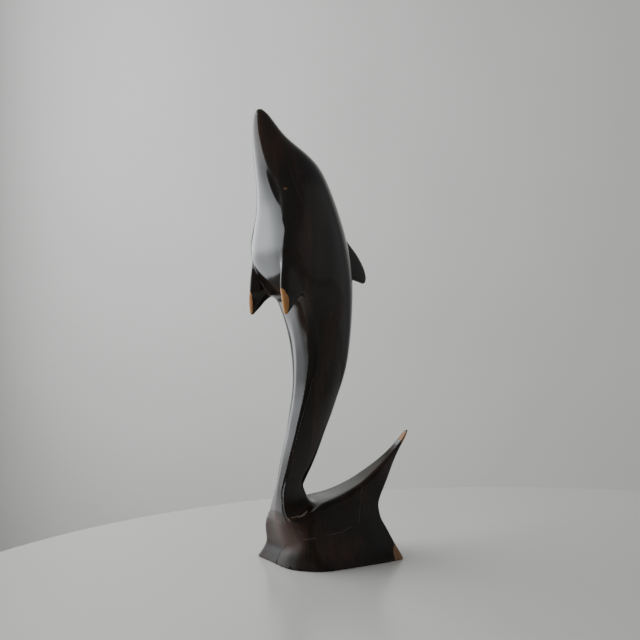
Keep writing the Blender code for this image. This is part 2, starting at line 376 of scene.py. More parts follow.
PECTORAL = Blade((
    (224.0, -29.0, -16.0, 17.6, 4.0), (214.0, -33.4, -14.0, 19.2, 6.0),
    (205.0, -35.2, -12.0, 19.9, 7.0), (196.0, -36.4, -12.0, 20.2, 7.4),
    (189.0, -36.9, -13.5, 20.4, 7.2), (185.0, -36.9, -16.0, 20.8, 6.8),
    (182.6, -36.9, -18.8, 21.5, 6.4), (181.0, -36.8, -21.2, 22.2, 6.0),
    (178.0, -36.6, -25.2, 22.8, 5.4), (174.0, -36.2, -28.2, 23.4, 4.8),
    (170.5, -35.7, -31.6, 23.9, 3.6), (168.6, -35.0, -33.2, 24.1, 1.6),
), splay=0.12)
BACK_FIN = Blade((
    (231.0, 12.0, 19.6, 0.0, 2.0), (224.0, 14.0, 25.0, 0.0, 4.0),
    (217.5, 15.0, 30.2, 0.0, 5.0), (211.5, 16.0, 35.6, 0.0, 5.4),
    (205.0, 17.0, 40.2, 0.0, 5.2), (199.0, 18.0, 43.1, 0.0, 4.6),
    (196.0, 20.0, 43.9, 0.0, 4.2), (194.4, 26.0, 44.1, 0.0, 3.8),
    (193.0, 32.5, 43.9, 0.0, 3.4), (191.8, 37.0, 43.4, 0.0, 2.8),
    (190.6, 40.6, 42.6, 0.0, 1.6),
), soft=0.8)


@dataclass(frozen=True)
class Block:
    """The lower block: foot, crease, bulge and the raised fluke.

    Attributes:
        sides: Rows of place along s, then height and half width of the top edge, of
            the bulge and of the hollow, and the half width at the foot.
        top: Place along s and height of the block's top and the fluke's upper side.
        end: Height, place along s and how far the corners fall back.
        corner: Distance across at which the corners have fallen back that much.
        flare: Share of the foot's width reached half way down the hollow.
        scoop: Place along s, how high the scooped top climbs up the tail stock, the half
            width where it meets the stock, and how deep it is hollowed inside the rim.
        length: Places along s between which its widths are sampled.
        height: Heights between which they are.
        spacing: Distance between the samples.
        beyond: How much wider the foot's line is at the lowest height, then, twice, a
            height above the top edge and the share of the top's width there.
        soft: How far kinks in the widths are eased along s, and along the height.
        line_soft: How far they are eased in the top, the end, the scoop and the rim.
        back_edge: Rounding of the edges between the sides and the end.
        top_edge: Rounding of the top's rim at its ends, and what it gains between them.
        top_front: Places along s between which it gains that.
        top_back: Places between which it loses it again.
    """

    sides: Tuple[Row, ...] = (
        (-40.0, 32.0, 12.0, 26.0, 13.0, 13.0, 20.0, 31.5),
        (-27.5, 32.0, 15.0, 26.0, 17.0, 13.0, 21.0, 31.5),
        (-22.0, 32.2, 17.7, 26.5, 20.6, 16.6, 22.8, 31.5),
        (-16.0, 35.0, 18.3, 28.0, 22.0, 20.8, 23.6, 31.6),
        (-12.0, 36.8, 18.9, 29.0, 22.3, 21.8, 23.7, 31.6),
        (2.0, 42.8, 16.8, 30.5, 21.9, 23.2, 23.4, 31.8),
        (16.5, 45.2, 13.4, 31.5, 20.4, 24.3, 22.4, 32.1),
        (33.0, 50.7, 11.0, 33.0, 17.0, 24.0, 20.6, 32.2),
        (46.0, 57.9, 8.8, 36.0, 13.2, 23.0, 17.8, 31.6),
        (56.0, 64.6, 6.4, 44.0, 9.4, 22.0, 16.5, 30.0),
        (64.0, 69.7, 4.6, 54.0, 6.6, 22.0, 15.5, 29.0),
        (72.0, 76.4, 3.2, 64.0, 4.6, 22.0, 15.0, 28.0),
        (90.0, 98.0, 2.0, 76.0, 3.0, 22.0, 14.0, 26.0),
    )
    top: Tuple[Row, ...] = (
        (-48.0, 33.4), (-28.0, 33.2), (-24.6, 33.5), (-22.0, 34.0), (-16.5, 35.9),
        (-12.0, 37.4), (-8.5, 38.8), (0.0, 42.0), (16.5, 45.2),
        (33.0, 50.8), (50.0, 60.2), (63.7, 69.6), (73.0, 77.9), (80.6, 86.5), (96.0, 105.0),
    )
    end: Tuple[Row, ...] = (
        (-6.0, 63.0, 4.4), (0.0, 61.0, 4.4), (6.0, 58.4, 4.4), (12.0, 55.6, 4.6),
        (20.8, 51.6, 5.0), (27.2, 48.2, 5.0), (35.0, 47.4, 5.0), (40.0, 49.6, 5.0),
        (45.5, 53.6, 4.0), (54.6, 59.8, 2.0), (63.2, 65.2, 1.0), (72.5, 71.9, 1.0),
        (80.1, 77.6, 1.0), (86.4, 80.7, 0.6), (110.0, 88.0, 0.6),
    )
    corner: float = 20.0
    flare: float = 0.42
    scoop: Tuple[Row, ...] = (
        (-50.0, 18.7, 5.2, 0.0), (-26.0, 18.7, 5.2, 0.2), (-20.0, 17.3, 5.0, 0.9),
        (-14.0, 14.3, 4.0, 1.2), (-11.0, 12.6, 3.2, 1.0), (-8.5, 11.1, 2.0, 0.7),
        (-5.6, 6.1, 1.2, 0.4), (-2.4, 0.9, 0.6, 0.0), (0.0, 0.0, 0.5, 0.0), (60.0, 0.0, 0.5, 0.0),
    )
    length: Row = (-40.0, 90.0)
    height: Row = (-6.0, 112.0)
    spacing: float = 0.25
    beyond: Row = (4.0, 30.0, 0.6, 80.0, 0.5)
    soft: Row = (2.0, 0.6)
    line_soft: Row = (1.2, 1.6, 1.0, 1.5)
    back_edge: float = 2.0
    top_edge: Row = (0.9, 3.0)
    top_front: Row = (-10.0, -1.0)
    top_back: Row = (75.0, 45.0)

    def widths(self) -> Sheet:
        """Half width of the block as a function of place along s and height.

        At each place a monotone cubic runs up through the foot, the flare, the hollow,
        the bulge and the top edge; the sheet is then eased a little both ways. The flare
        is a little below half way up to the hollow.

        Returns:
            The sheet of half widths.
        """
        step = self.spacing
        places, heights = np.arange(*self.length, step), np.arange(*self.height, step)
        rows = np.array(self.sides)
        top, top_half, bulge, bulge_half, hollow, hollow_half, foot = cubic(
            rows[:, 0], rows[:, 1:].T, places)
        flare = hollow_half + self.flare * (foot - hollow_half)
        wider, high, high_share, higher, higher_share = self.beyond
        knots = [(np.full_like(top, self.height[0]), foot + wider), (np.zeros_like(top), foot),
                 (hollow * 0.45, flare), (hollow, hollow_half), (bulge, bulge_half), (top, top_half),
                 (top + high, top_half * high_share), (top + higher, top_half * higher_share)]
        highs, halves = (np.stack(part, axis=-1) for part in zip(*knots))
        values = np.array([cubic(high, half, heights) for high, half in zip(highs, halves)])
        for axis, soft in enumerate(self.soft):
            values = eased(values, soft / step, axis)
        return Sheet((places[0], heights[0]), (step, step), values)

    def lift(self, lines: Dict[str, Union[Profile, Sheet]], s: Array, l: Array) -> Array:
        """How far the top stands above its own line, where it climbs up the tail stock.

        From the rim inwards it grows with the square of the share of the way to the stock,
        less a hollow along the rim.

        Args:
            lines: The sampled lines.
            s: Places from belly to back.
            l: Places across.

        Returns:
            Heights above the top line.
        """
        across = np.abs(l)
        (high, neck, hollow), (rim,) = lines["scoop"].at(s), lines["rim"].at(s)
        share = np.clip((rim - across) / (rim - neck), 0, 1)
        return high * share**2 - hollow * 4 * share * (1 - share) ** 2

    def depth(self, lines: Dict[str, Union[Profile, Sheet]], s: Array, l: Array, z: Array) -> Array:
        """Depth of points under the block's sides, top and end; its front is cut later.

        Each side's depth is the distance along one axis divided by the length of its
        gradient, and the three are cut by each other with rounded edges.

        Args:
            lines: The sampled lines.
            s: Places from belly to back.
            l: Places across, near side negative.
            z: Heights.

        Returns:
            Depths, negative inside.
        """
        across, bit = np.abs(l), self.spacing
        widths = lines["widths"]
        half = widths.at(s, z)
        lean_s = (widths.at(s + bit, z) - half) / bit
        lean_z = (widths.at(s, z + bit) - half) / bit
        sides = (across - half) / np.sqrt(1 + lean_s**2 + lean_z**2)
        top, lean = lines["top"].at(s)
        lift = self.lift(lines, s, l)
        lean = lean + (self.lift(lines, s + bit, l) - lift) / bit
        lean_l = (self.lift(lines, s, across + bit) - lift) / bit
        above = (z - top - lift) / np.sqrt(1 + lean**2 + lean_l**2)
        place, fall, lean = lines["end"].at(z)
        lean_l = fall * across / self.corner**2
        behind = s - place + fall * (across / self.corner) ** 2 / 2
        depth = cut_by(sides, behind / np.sqrt(1 + lean**2 + lean_l**2), self.back_edge)
        least, gain = self.top_edge
        return cut_by(depth, above, least + gain * rise(s, *self.top_front) * rise(s, *self.top_back))

    def sampled(self) -> Dict[str, Union[Profile, Sheet]]:
        """Samples the block's lines, top and end with their own slope as a last column.

        Returns:
            The lines by name.
        """
        lines: Dict[str, Union[Profile, Sheet]] = {"widths": self.widths()}
        top_soft, end_soft, scoop_soft, rim_soft = self.line_soft
        for name, rows, soft in (("top", self.top, top_soft), ("end", self.end, end_soft)):
            line = Profile.through(rows, soft)
            lean = np.gradient(line.columns[0], line.places)
            lines[name] = Profile(line.places, np.vstack([line.columns, lean]))
        lines["scoop"] = Profile.through(self.scoop, scoop_soft)
        lines["rim"] = Profile.through([(row[0], row[2]) for row in self.sides], rim_soft)
        return lines


@dataclass(frozen=True)
class Face:
    """The front of the carving, from the foot up to the chest.

    Attributes:
        foot: Rows of height, place along s, and how far the near and far corners fall back.
        climb: How much higher the foot is at the near corner than in the middle.
        corner: Distance across at which the corners have fallen back that much.
        rim: Rows of height, place along s, half width between the two ridges, and how far
            the ridges lie behind the middle, where the front widens from the tail to the block.
        change: Heights between which the foot's form changes to the tail's.
        band: Shares of the half width between which the front falls back beside the ridges.
        gentle: Share of the fall that runs all the way across, its power, and how much
            more and less they are where the near side is straighter.
        straight: Heights between which that straighter near side ends.
        outer: How much it falls back for each further half width beyond the ridges.
        settled: Height over which the near corner's climb begins.
        follows: Heights between which it follows the trunk's lines.
        soft: How far kinks are eased in the foot's lines, and in the tail's.
        height: Heights between which it is sampled.
        width: Places across between which it is.
        spacing: Distance between the samples.
    """

    foot: Tuple[Row, ...] = (
        (-12.0, -29.6, 8.0, -0.2), (0.0, -26.8, 5.0, -0.2), (6.0, -25.0, 4.6, -0.5),
        (12.0, -23.2, 3.3, -0.9), (18.0, -25.0, 3.9, -1.6), (24.0, -27.0, 4.6, -2.0),
        (28.0, -28.0, 5.0, -1.2), (32.0, -28.4, 5.0, 0.4), (38.0, -29.0, 5.0, 1.4),
    )
    climb: float = 5.0
    corner: float = 20.0
    rim: Tuple[Row, ...] = (
        (20.0, -25.6, 18.0, 3.4), (28.0, -27.8, 16.6, 3.0), (31.0, -28.3, 15.0, 2.6),
        (33.5, -28.6, 13.0, 2.1), (36.0, -28.8, 11.0, 1.8), (40.0, -28.7, 8.9, 1.6),
        (45.5, -28.1, 7.0, 1.6),
    )
    change: Tuple[float, float] = (29.0, 34.0)
    band: Tuple[float, float] = (0.80, 0.92)
    gentle: Row = (0.45, 1.5, 0.15, 0.25)
    straight: Row = (138.0, 152.0)
    outer: float = 0.6
    settled: float = 10.0
    follows: Row = (48.0, 180.0)
    soft: Row = (1.2, 1.4)
    height: Row = (-6.0, 178.0)
    width: Row = (-36.0, 36.1)
    spacing: float = 0.2

    def sheet(self, trunk: Trunk) -> Tuple[Sheet, Sheet]:
        """The front's place over height and place across, and the length of its gradient.

        The foot's front falls back with the cube of the distance from the middle. The
        tail's falls back about half way with a power of the share of its half width, a
        straighter one on the near side, and the rest in a smooth step, which leaves a
        narrow level lip along each ridge.

        Args:
            trunk: The trunk, whose belly line, half width and ridge it follows above the rim.

        Returns:
            The sheets of places and of lengths.
        """
        step = self.spacing
        heights, widths = np.arange(*self.height, step), np.arange(*self.width, step)
        z, l = heights[:, None], widths[None, :]
        lower = z - self.climb * rise(-l, 0.0, self.corner) * rise(z, 0.0, self.settled)
        place, near, far = Profile.through(self.foot, self.soft[0]).at(lower)
        low = place + np.where(l < 0, near, far) * (np.abs(l) / self.corner) ** 3
        rows = [(level, belly, half, ridge - belly) for level, belly, _, half, ridge, _ in trunk.levels
                if self.follows[0] < level < self.follows[1]]
        tail = Profile.through((*self.rim, *rows), self.soft[1]).at(heights)
        place, half, drop = (column[:, None] for column in tail)
        share = np.abs(l) / half
        within = np.minimum(share, 1)
        straight = np.where(l < 0, 1 - rise(z, *self.straight), 0)
        gentle, power, more, less = self.gentle
        gentle, power = gentle + more * straight, power - less * straight
        fall = gentle * within**power + (1 - gentle) * rise(within, *self.band)
        fall = fall + self.outer * (share - within)
        blend = rise(z, *self.change)
        values = low * (1 - blend) + (place + drop * fall) * blend
        lean_z, lean_l = np.gradient(values, step)
        corner, steps = (heights[0], widths[0]), (step, step)
        return Sheet(corner, steps, values), Sheet(corner, steps, np.sqrt(1 + lean_z**2 + lean_l**2))


@dataclass(frozen=True)
class Chest:
    """The flat front of the chest between the roots of the two fins.

    Attributes:
        levels: Rows of height, place along s in the middle, how much further back it lies
            at the half width on the near and on the far side, and the half width.
        edge: How softly its corners are rounded.
        end: How softly its upper and lower end are.
        back: Place along s where the pad ends behind.
        soft: How far kinks are eased.
    """

    levels: Tuple[Row, ...] = (
        (230.0, -32.6, 0.5, -1.2, 18.0), (222.0, -35.0, 0.9, 0.2, 24.0),
        (214.0, -36.0, 0.7, 0.4, 24.0), (205.0, -35.4, 0.1, 0.8, 21.8),
        (200.0, -34.8, -0.2, 1.6, 21.2), (196.0, -33.7, 0.0, 2.2, 20.6),
        (192.0, -31.6, 0.2, 2.8, 20.0), (188.0, -28.9, 0.3, 3.2, 19.8),
        (183.0, -25.4, 0.4, 3.6, 19.8),
    )
    edge: float = 3.0
    end: float = 2.0
    back: float = -14.0
    soft: float = 1.5

    def profile(self) -> Profile:
        """The pad's sizes along its height."""
        return Profile.through(self.levels, self.soft)

    def depth(self, line: Profile, s: Array, l: Array, z: Array) -> Array:
        """Depth of points under the pad: before its front, beside it, behind it, above or below.

        Args:
            line: The sampled sizes.
            s: Places from belly to back.
            l: Places across.
            z: Heights.

        Returns:
            Depths, negative inside.
        """
        place, near, far, half = line.at(z)
        across = np.abs(l)
        front = place + np.where(l < 0, near, far) * (across / half) ** 2
        depth = cut_by(front - s, across - half, self.edge)
        depth = np.maximum(depth, s - self.back)
        return cut_by(depth, np.maximum(z - line.places[-1], line.places[0] - z), self.end)


@dataclass(frozen=True)
class Groove:
    """The groove between throat and cheek, which sets off the eye's swell.

    Attributes:
        across: Distance of its bottom from the middle at its upper height.
        top: That height.
        lean: How much further out it lies for each millimetre down.
        throat: Its half width on the throat's side.
        cheek: Its half width on the cheek's side.
        level: Height of its middle.
        reach: How far it reaches up and down from there.
        deep: Its depth.
        end: Place along s at which it ends.
        soft: How softly it ends.
    """

    across: float = 10.2
    top: float = 262.0
    lean: float = 0.345
    throat: float = 3.0
    cheek: float = 6.6
    level: float = 251.5
    reach: float = 11.0
    deep: float = 1.4
    end: float = -24.0
    soft: float = 1.5

    def depth(self, s: Array, l: Array, z: Array) -> Array:
        """How much wood it takes off.

        Its section is a bell, steep on the throat's side, and it fades along the cheek as
        a bell of the height.

        Args:
            s: Places from belly to back.
            l: Places across.
            z: Heights.

        Returns:
            What to add to the depths.
        """
        across = np.abs(l) - self.across - (self.top - z) * self.lean
        width = np.where(across < 0, self.throat, self.cheek)
        bell = np.exp(-(across / width) ** 2 - ((z - self.level) / self.reach) ** 2)
        return self.deep * bell / (1 + np.exp((s - self.end) / self.soft))


@dataclass
class Carving:
    """The whole carving: its forms joined to one depth, and points settled on its skin.

    Attributes:
        trunk: Beak, head, chest and tail stock.
        block: Foot, bulge and fluke.
        face: The front from the foot up to the chest.
        chest: The flat front of the chest.
        groove: The groove before the eye's swell.
        crease: Fillet between tail stock and block low down, and what it gains higher up.
        crease_rise: Heights between which it gains that.
        corners: Rounding of the foot's near corner, how much less it is at the table, and
            rounding of its far corner.
        corners_rise: Heights between which the near corner reaches its full rounding.
        lip: Rounding of the tail's ridges.
        lip_rise: Heights between which the corners' rounding changes to it.
        swell: What that rounding gains under the chest.
        swell_rise: Heights between which it does.
        change: Heights between which the trunk's own outline takes over.
        fillets: Fillets of the chest's front, the pectoral fins and the back fin.
        sole: Rounding of the foot's lower edge.
        reach: Reach of the differences while points settle.
        flattest: Least square of the gradient that they are moved by.
        furthest: Furthest that they are moved at a time.
    """

    trunk: Trunk = Trunk()
    block: Block = Block()
    face: Face = Face()
    chest: Chest = Chest()
    groove: Groove = Groove()
    crease: Row = (1.6, 2.2)
    crease_rise: Row = (38.0, 46.0)
    corners: Row = (5.0, 1.6, 3.0)
    corners_rise: Row = (12.0, 22.0)
    lip: float = 0.4
    lip_rise: Row = (29.0, 34.0)
    swell: float = 4.0
    swell_rise: Row = (120.0, 160.0)
    change: Row = (150.0, 174.0)
    fillets: Row = (4.0, 1.8, 3.0)
    sole: float = 1.2
    reach: float = 0.08
    flattest: float = 0.05
    furthest: float = 0.8

    def __post_init__(self) -> None:
        """Samples every form once."""
        self.trunk_line, self.chest_line = self.trunk.profile(), self.chest.profile()
        self.fin_line, self.back_line = PECTORAL.profile(), BACK_FIN.profile()
        self.block_lines = self.block.sampled()
        self.front, self.front_length = self.face.sheet(self.trunk)

    def rough(self, s: Array, l: Array, z: Array) -> Array:
        """Depth of points under the skin, without the knife's finer relief.

        Below the chest the tail stock and the block are joined and cut by the front;
        above it the trunk's own outline takes over. The fins and the chest are joined on.

        Args:
            s: Places from belly to back.
            l: Places across, near side negative.
            z: Heights.

        Returns:
            Depths, negative inside.
        """
        least, gain = self.crease
        stock = joined(self.trunk.tube(self.trunk_line, s, l, z),
                       self.block.depth(self.block_lines, s, l, z),
                       least + gain * rise(z, *self.crease_rise))
        front = (self.front.at(z, l) - s) / self.front_length.at(z, l)
        near, less, far = self.corners
        low = np.where(l < 0, near - less * (1 - rise(z, *self.corners_rise)), far)
        edge = low + (self.lip - low) * rise(z, *self.lip_rise) + self.swell * rise(z, *self.swell_rise)
        stock = cut_by(stock, front, edge)
        share = rise(z, *self.change)
        depth = stock * (1 - share) + self.trunk.depth(self.trunk_line, s, l, z) * share
        others = (self.chest.depth(self.chest_line, s, l, z),
                  PECTORAL.depth(self.fin_line, s, np.abs(l), z),
                  BACK_FIN.depth(self.back_line, s, l, z))
        for other, fillet in zip(others, self.fillets):
            depth = joined(depth, other, fillet)
        return cut_by(depth, -z, self.sole)

    def fine(self, s: Array, l: Array, z: Array) -> Array:
        """The rough depth with the groove cut into it."""
        return self.rough(s, l, z) + self.groove.depth(s, l, z)

    def slope(self, points: Array, reach: float) -> Array:
        """Gradient of the fine depth by differences over a reach to both sides.

        Args:
            points: The points, shape (n, 3).
            reach: The reach.

        Returns:
            The gradients, shape (n, 3).
        """
        parts = []
        for axis in range(3):
            shift = np.zeros(3)
            shift[axis] = reach
            ahead, behind = (points + shift).T, (points - shift).T
            parts.append((self.fine(*ahead) - self.fine(*behind)) / (2 * reach))
        return np.stack(parts, axis=-1)

    def settle(self, points: Array, rounds: int) -> Array:
        """Moves points onto the skin, each by its depth over the gradient, along the gradient.

        Args:
            points: Points near the skin, shape (n, 3).
            rounds: How often they are moved.

        Returns:
            The points on the skin.
        """
        for _ in range(rounds):
            lean = self.slope(points, self.reach)
            square = np.maximum((lean**2).sum(-1), self.flattest)
            move = np.clip(self.fine(*points.T) / square, -self.furthest, self.furthest)
            points = points - move[:, None] * lean
        return points


def pull_skin(depth: Callable[[Array, Array, Array], Array], low: Row, high: Row,
              step: float, layers: int = 16) -> Tuple[Array, Array]:
    """Mesh of the surface where the depth is nought, one vertex to each cell it crosses.

    The depth is worked out on an even grid of three parameters. A cell with corners on
    both sides gets a vertex at the mean of its edges' crossings, and each grid edge with
    its ends on different sides gets the quad of the four cells round it.

    Args:
        depth: Depth of points, negative inside.
        low: Lowest corner of the grid.
        high: Highest corner of the grid.
        step: Distance between grid points.
        layers: Number of the grid's layers that are worked out at a time.

    Returns:
        Vertices, shape (n, 3), and quads, shape (m, 4), facing outwards.
    """
    axes = [np.arange(a, b + step, step) for a, b in zip(low, high)]
    count = [len(axis) for axis in axes]
    values = np.empty(count, np.float32)
    plane = np.meshgrid(axes[0], axes[1], indexing="ij")
    for start in range(0, count[2], layers):
        z = axes[2][start:start + layers]
        s, l = (np.repeat(side[:, :, None], len(z), axis=2) for side in plane)
        values[:, :, start:start + layers] = depth(s, l, np.broadcast_to(z, s.shape))
    inside = values < 0
    corners = [(i, j, k) for i in (0, 1) for j in (0, 1) for k in (0, 1)]
    size = [n - 1 for n in count]

    filled = sum(inside[tuple(slice(c, c + n) for c, n in zip(corner, size))].astype(np.int8)
                 for corner in corners)
    cells = np.argwhere((filled > 0) & (filled < 8))
    number = np.full(size, -1, np.int32)
    number[tuple(cells.T)] = np.arange(len(cells))
    total, crossings = np.zeros((len(cells), 3)), np.zeros(len(cells))
    for first in corners:
        for axis in range(3):
            if first[axis]:
                continue
            second = tuple(c + (index == axis) for index, c in enumerate(first))
            a = values[tuple((cells + first).T)]
            b = values[tuple((cells + second).T)]
            crossed = (a < 0) != (b < 0)
            share = np.where(crossed, a / np.where(crossed, a - b, 1), 0)
            spot = cells + first + share[:, None] * (np.arange(3) == axis)
            total += spot * crossed[:, None]
            crossings += crossed
    points = np.array(low) + step * total / crossings[:, None]
    quads = []
    for axis in range(3):
        others = [(axis + 1) % 3, (axis + 2) % 3]
        start = [slice(1, n - 1) for n in count]
        start[axis] = slice(0, count[axis] - 1)
        shifted = list(start)
        shifted[axis] = slice(1, count[axis])
        near, far = inside[tuple(start)], inside[tuple(shifted)]
        edges = np.argwhere(near != far) + [s.start for s in start]
        leaving = inside[tuple(edges.T)]
        ring = []
        for back in ((1, 1), (0, 1), (0, 0), (1, 0)):
            cell = edges.copy()
            cell[:, others[0]] -= back[0]
            cell[:, others[1]] -= back[1]
            ring.append(number[tuple(cell.T)])
        ring = np.stack(ring, axis=-1)
        quads.append(np.where(leaving[:, None], ring, ring[:, ::-1]))
    return points, np.concatenate(quads)


def relaxed(points: Array, quads: Array, share: float) -> Array:
    """Moves each point towards the mean of its neighbours by a share of the way.

    Args:
        points: Vertices, shape (n, 3).
        quads: Faces, shape (m, 4).
        share: Share of the way.

    Returns:
        The moved vertices.
    """
    edges = [quads[:, [corner, (corner + 1) % 4]] for corner in range(4)]
    ends = np.concatenate(edges)
    total = sum(np.stack([np.bincount(ends[:, own], points[ends[:, other], axis], len(points))
                          for axis in range(3)], -1) for own, other in ((0, 1), (1, 0)))
    number = np.bincount(ends.ravel(), minlength=len(points))
    return points + share * (total / number[:, None] - points)


# Shader nodes.


class Socket:
    """A number socket that takes part in Python arithmetic; each operation adds a Math node."""

    def __init__(self, nodes: "Nodes", link: bpy.types.NodeSocket) -> None:
        """Remembers the nodes that the socket belongs to."""
        self.nodes, self.link = nodes, link

    def math(self, operation: str, *inputs: Number) -> "Socket":
        """A Math node of that operation on the given inputs."""
        node = self.nodes.add("ShaderNodeMath", {"operation": operation}, dict(enumerate(inputs)))
        return Socket(self.nodes, node.outputs[0])

    def __add__(self, other: Number) -> "Socket":
        """The sum."""
        return self.math("ADD", self, other)

    __radd__ = __add__

    def __sub__(self, other: Number) -> "Socket":
        """The value less the other."""
        return self.math("SUBTRACT", self, other)

    def __rsub__(self, other: Number) -> "Socket":
        """The other less the value."""
        return self.math("SUBTRACT", other, self)

    def __mul__(self, other: Number) -> "Socket":
        """The product."""
        return self.math("MULTIPLY", self, other)

    __rmul__ = __mul__

    def __pow__(self, other: Number) -> "Socket":
        """The value to the power of the other."""
        return self.math("POWER", self, other)

    def __rpow__(self, other: Number) -> "Socket":
        """The other to the power of the value."""
        return self.math("POWER", other, self)

    def sine(self) -> "Socket":
        """The sine of an angle in radians."""
        return self.math("SINE", self)

    def least(self, other: Number) -> "Socket":
        """The smaller of two values."""
        return self.math("MINIMUM", self, other)

    def most(self, other: Number) -> "Socket":
        """The larger of two values."""
        return self.math("MAXIMUM", self, other)

    def ramp(self, start: float, stop: float) -> "Socket":
        """A smooth step from 0 to 1.

        Args:
            start: Value from which it rises from 0.
            stop: Value at which it reaches 1; it may be the smaller one.

        Returns:
            The step.
        """
        if start > stop:
            return 1 - self.ramp(stop, start)
        settings = {"interpolation_type": "SMOOTHSTEP", "clamp": True}
        sockets = {"Value": self, "From Min": start, "From Max": stop}
        node = self.nodes.add("ShaderNodeMapRange", settings, sockets)
        return Socket(self.nodes, node.outputs["Result"])


class Nodes:
    """The node tree of a material or a light, with one method that adds nodes."""

    def __init__(self, tree: bpy.types.NodeTree, material: Optional[bpy.types.Material] = None) -> None:
        """Remembers the tree, and the material where it is one's."""
        self.tree, self.material = tree, material

    @classmethod
    def of_material(cls, name: str) -> "Nodes":
        """Makes a material.

        Args:
            name: Its name.

        Returns:
            Its nodes.
        """
        material = bpy.data.materials.new(name)
        material.use_nodes = True
        return cls(material.node_tree, material)

    @property
    def shader(self) -> bpy.types.Node:
        """The material's shader."""
        return self.tree.nodes["Principled BSDF"]

    def add(self, kind: str, settings: Optional[Dict[str, object]] = None,
            sockets: Optional[Dict[Union[int, str], object]] = None) -> bpy.types.Node:
        """Adds a node, sets its settings, then fills its sockets.

        Args:
            kind: The node's type.
            settings: Its own settings, by name.
            sockets: Values, or sockets to link, by the socket's name or number.

        Returns:
            The node.
        """
        node = self.tree.nodes.new(kind)
        for name, value in (settings or {}).items():
            setattr(node, name, value)
        for name, value in (sockets or {}).items():
            value = value.link if isinstance(value, Socket) else value
            if isinstance(value, bpy.types.NodeSocket):
                self.tree.links.new(value, node.inputs[name])
            else:
                node.inputs[name].default_value = value
        return node

    def feed(self, node: bpy.types.Node, name: str, value: Union[Socket, bpy.types.NodeSocket]) -> None:
        """Links a value to a named socket of a node that is already there."""
        self.tree.links.new(value.link if isinstance(value, Socket) else value, node.inputs[name])

    def place(self) -> Tuple[bpy.types.NodeSocket, Socket, Socket, Socket]:
        """Reads the point on the piece.

        Returns:
            The point as a vector in millimetres, and its s, l and z.
        """
        metres = self.add("ShaderNodeTexCoord").outputs["Object"]
        scaled = self.add("ShaderNodeVectorMath", {"operation": "MULTIPLY"}, {0: metres, 1: (1 / MM,) * 3})
        shifted = self.add("ShaderNodeVectorMath", {"operation": "ADD"},
                           {0: scaled.outputs[0], 1: (CENTRE_S, 0.0, 0.0)})
        parts = self.add("ShaderNodeSeparateXYZ", None, {0: shifted.outputs[0]}).outputs
        return (shifted.outputs[0], *(Socket(self, part) for part in parts))

    def blend(self, share: Number, first: Union[Row, bpy.types.NodeSocket],
              second: Union[Row, bpy.types.NodeSocket]) -> bpy.types.NodeSocket:
        """Mixes two colours.

        Args:
            share: The second colour's share.
            first: Colour where the share is 0.
            second: Colour where it is 1.

        Returns:
            The mixed colour.
        """
        fill = [value if isinstance(value, bpy.types.NodeSocket) else (*value, 1.0)
                for value in (first, second)]
        node = self.add("ShaderNodeMix", {"data_type": "RGBA", "clamp_factor": True},
                        {0: share, 6: fill[0], 7: fill[1]})
        return node.outputs[2]


@dataclass(frozen=True)
class Grain:
    """Cloudy noise, drawn out along the grain, from 0 to 1 about 0.5.

    Attributes:
        across: Size of a cloud across the grain, in millimetres.
        along: Its size along the grain.
        detail: Number of finer layers.
        rough: Strength of each finer layer.
        seed: Shift that sets one noise apart from another.
    """

    across: float
    along: float
    detail: float
    rough: float
    seed: float

    def read(self, nodes: Nodes, place: bpy.types.NodeSocket) -> Socket:
        """The noise at a place.

        Args:
            nodes: The material's nodes.
            place: The point in millimetres.

        Returns:
            The noise.
        """
        near, far = 1 / self.across, 1 / self.along
        shift = (self.seed, 2.7 * self.seed, 1.3 * self.seed)
        scaled = nodes.add("ShaderNodeVectorMath", {"operation": "MULTIPLY_ADD"},
                           {0: place, 1: (near, near, far), 2: shift})
        sockets = {"Vector": scaled.outputs[0], "Scale": 1.0, "Detail": self.detail, "Roughness": self.rough}
        node = nodes.add("ShaderNodeTexNoise", {"noise_dimensions": "3D"}, sockets)
        return Socket(nodes, node.outputs["Fac"])


SWAY = Grain(60.0, 160.0, 2.0, 0.5, 3.0)
WAVER = Grain(7.0, 80.0, 3.0, 0.55, 7.0)
BROAD = Grain(10.0, 110.0, 3.0, 0.55, 11.0)
STREAK = Grain(1.6, 34.0, 4.0, 0.6, 17.0)
HAIR = Grain(0.42, 13.0, 2.0, 0.6, 23.0)
REDNESS = Grain(6.0, 50.0, 2.0, 0.5, 31.0)
RAGGED = Grain(1.3, 9.0, 2.0, 0.5, 41.0)
WANDER = Grain(1.0, 2.5, 2.0, 0.5, 53.0)
MOTTLE = Grain(300.0, 300.0, 2.0, 0.5, 1.0)


# The wood.


def apart(place: Sequence[Socket], centre: Row, size: Row) -> Socket:
    """Square of the distance from a centre, each way measured in its own size.

    Args:
        place: The point's s, l and z.
        centre: The centre's s, l and z.
        size: Half axes of the egg where the distance is 1.

    Returns:
        The square of the distance.
    """
    parts = [(value - at) * (1 / half) for value, at, half in zip(place, centre, size)]
    return sum((part * part for part in parts), 0.0)


